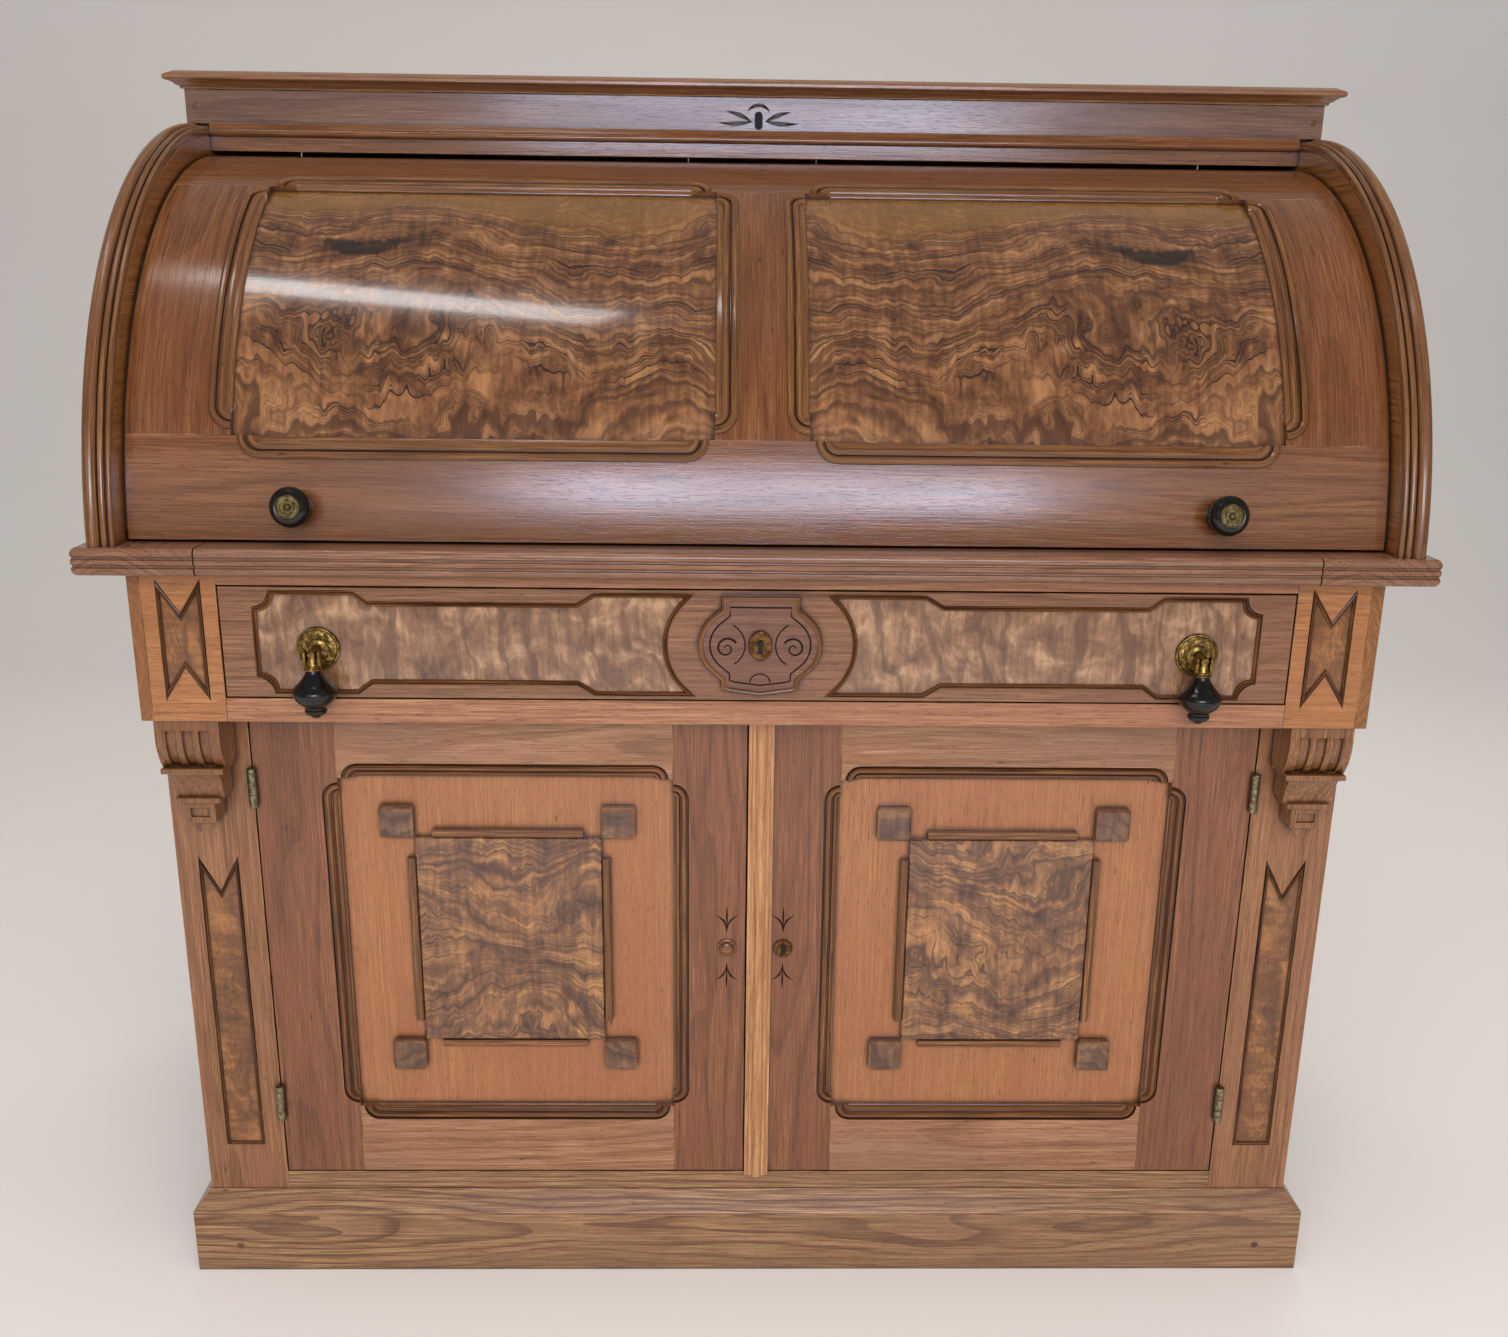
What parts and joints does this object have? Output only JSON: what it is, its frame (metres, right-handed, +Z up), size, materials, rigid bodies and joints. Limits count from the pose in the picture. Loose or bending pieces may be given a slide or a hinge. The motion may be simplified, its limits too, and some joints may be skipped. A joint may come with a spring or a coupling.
{
  "type": "cylinder desk",
  "caption": "Cylinder desk: cupboard base with panelled doors, frieze with a long drawer, pull-out writing slide, rigid quarter-round fall over pigeonholes, top box with cornice.",
  "frame": {"origin": "on the floor under the centre of the overall box", "axes": "+Z up, +X to the user's right when facing the desk, the front faces -Y"},
  "size_m": [1.18, 0.7393, 1.173],
  "materials": {
    "walnut": "oil-varnished walnut, satin gloss, worn edges",
    "field_walnut": "varnished straight-grained walnut, lighter",
    "burl_walnut": "varnished burl veneer with a dark wavy figure",
    "secondary_wood": "planed softwood with a thin shellac coat",
    "ebonised_wood": "turned wood stained black and polished",
    "brass": "aged lacquered brass",
    "leather": "dark green skiver with a worn grain"
  },
  "bodies": {
    "carcase": {"back_boards": "secondary_wood", "bottom_rail": "walnut", "box_boards": "walnut", "case_boards": "secondary_wood", "case_sides": "walnut", "corbels": "walnut", "cornice": "walnut", "deck_ends": "walnut", "deck_rear": "secondary_wood", "drawer_runners": "secondary_wood", "edge_mouldings": "walnut", "end_panels": "walnut", "fall_lock": "brass", "frieze_blocks": "walnut", "frieze_rails": "walnut", "frieze_sides": "walnut", "head_rail": "walnut", "hinge_posts": "brass", "pigeonholes": "secondary_wood", "plinth_boards": "walnut", "plinth_cap": "walnut", "post_inlays": "burl_walnut", "posts": "walnut", "shelf": "secondary_wood", "top_board": "walnut"},
    "fall": {"fall_rails": "walnut", "fall_stiles": "walnut", "fall_burls": "burl_walnut", "fall_mouldings": "walnut", "fall_tongues": "walnut", "knobs": "ebonised_wood", "knob_discs": "brass"},
    "writing_slide": {"slide_top": "walnut", "slide_inset": "leather"},
    "long_drawer": {"drawer_front": "walnut", "drawer_inlays": "burl_walnut", "drawer_box": "secondary_wood", "drawer_bottom": "secondary_wood", "drawer_escutcheon": "walnut", "drawer_lock": "brass", "pull_rosettes": "brass"},
    "pull_left": {"pull_drop_left": "ebonised_wood"},
    "pull_right": {"pull_drop_right": "ebonised_wood"},
    "door_left": {"door_left_stiles": "walnut", "door_left_rails": "walnut", "door_left_field": "field_walnut", "door_left_burl": "burl_walnut", "door_left_trim": "walnut", "door_left_hinges": "brass", "door_plug": "ebonised_wood"},
    "door_right": {"door_right_stiles": "walnut", "door_right_rails": "walnut", "door_right_field": "field_walnut", "door_right_burl": "burl_walnut", "door_right_trim": "walnut", "door_right_hinges": "brass", "door_lock": "brass", "astragal": "walnut"},
    "small_drawer_left": {"small_drawer_left": "secondary_wood"},
    "small_drawer_right": {"small_drawer_right": "secondary_wood"}
  },
  "joints": [
    {"name": "fall_turn", "type": "hinge", "parent": "carcase", "child": "fall", "pos_m": [0, 0.02755, 0.737], "axis": [-1, 0, 0], "range_deg": [0, 72]},
    {"name": "slide_pull", "type": "slide", "parent": "carcase", "child": "writing_slide", "axis": [0, -1, 0], "range_m": [0, 0.18]},
    {"name": "drawer_pull", "type": "slide", "parent": "carcase", "child": "long_drawer", "axis": [0, -1, 0], "range_m": [0, 0.4]},
    {"name": "door_left_swing", "type": "hinge", "parent": "carcase", "child": "door_left", "pos_m": [-0.47425, -0.28495, 0.355], "axis": [0, 0, -1], "range_deg": [0, 100]},
    {"name": "door_right_swing", "type": "hinge", "parent": "carcase", "child": "door_right", "pos_m": [0.47425, -0.28495, 0.355], "axis": [0, 0, 1], "range_deg": [0, 100]},
    {"name": "pull_left_swing", "type": "hinge", "parent": "long_drawer", "child": "pull_left", "pos_m": [-0.3915, -0.35045, 0.66825], "axis": [-1, 0, 0], "range_deg": [-3, 80]},
    {"name": "pull_right_swing", "type": "hinge", "parent": "long_drawer", "child": "pull_right", "pos_m": [0.3915, -0.35045, 0.66825], "axis": [-1, 0, 0], "range_deg": [-3, 80]},
    {"name": "small_drawer_left_pull", "type": "slide", "parent": "carcase", "child": "small_drawer_left", "axis": [0, -1, 0], "range_m": [0, 0.18]},
    {"name": "small_drawer_right_pull", "type": "slide", "parent": "carcase", "child": "small_drawer_right", "axis": [0, -1, 0], "range_m": [0, 0.18]}
  ]
}
